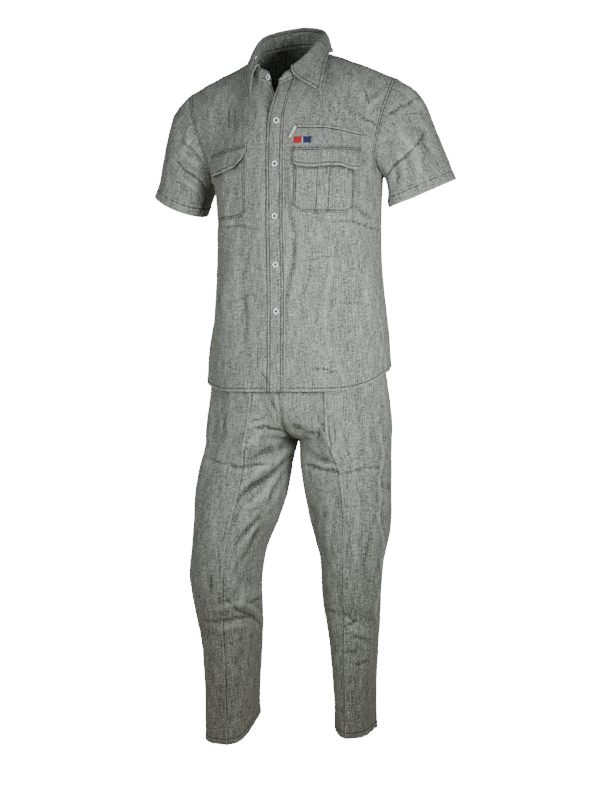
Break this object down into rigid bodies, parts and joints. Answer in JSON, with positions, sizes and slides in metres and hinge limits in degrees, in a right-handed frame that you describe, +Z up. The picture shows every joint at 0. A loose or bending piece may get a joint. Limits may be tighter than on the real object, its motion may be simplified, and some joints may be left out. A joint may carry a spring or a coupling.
{
  "type": "work suit",
  "caption": "Short-sleeved button-front work shirt with chest pockets over long straight trousers, hollow and posed as worn.",
  "frame": {"origin": "middle of the neck opening, level with the neck ends of the shoulder seams, where the wearer's shoulders hold the suit", "axes": "+Z up along the wearer, -Y to the suit's front, +X to the wearer's left"},
  "size_m": [0.6634, 0.2971, 1.5135],
  "materials": {
    "cotton": "washed grey-green chambray, dry and slightly puckered at the seams",
    "zip_tape": "woven zip tape",
    "label": "plain woven tab",
    "button": "pearly resin",
    "zip_metal": "dulled brass"
  },
  "bodies": {
    "suit": {"front_left": "cotton", "front_right": "cotton", "back": "cotton", "sleeve_left": "cotton", "sleeve_right": "cotton", "collar_stand": "cotton", "collar_fall": "cotton", "placket": "cotton", "pocket_left": "cotton", "pocket_right": "cotton", "flap_left": "cotton", "flap_right": "cotton", "leg_front_left": "cotton", "leg_front_right": "cotton", "leg_back_left": "cotton", "leg_back_right": "cotton", "waistband": "cotton", "button_1": "button", "button_2": "button", "button_3": "button", "button_4": "button", "button_5": "button", "button_collar": "button", "zip_tape": "zip_tape", "label": "label", "zip_slider": "zip_metal"},
    "zip_pull": {"zip_pull": "zip_metal"}
  },
  "joints": [
    {"name": "zip_pull_swing", "type": "hinge", "parent": "suit", "child": "zip_pull", "pos_m": [0.04324, -0.12941, -0.17934], "axis": [0.2007, -0.9672, 0.1559], "range_deg": [-18, 72]}
  ]
}
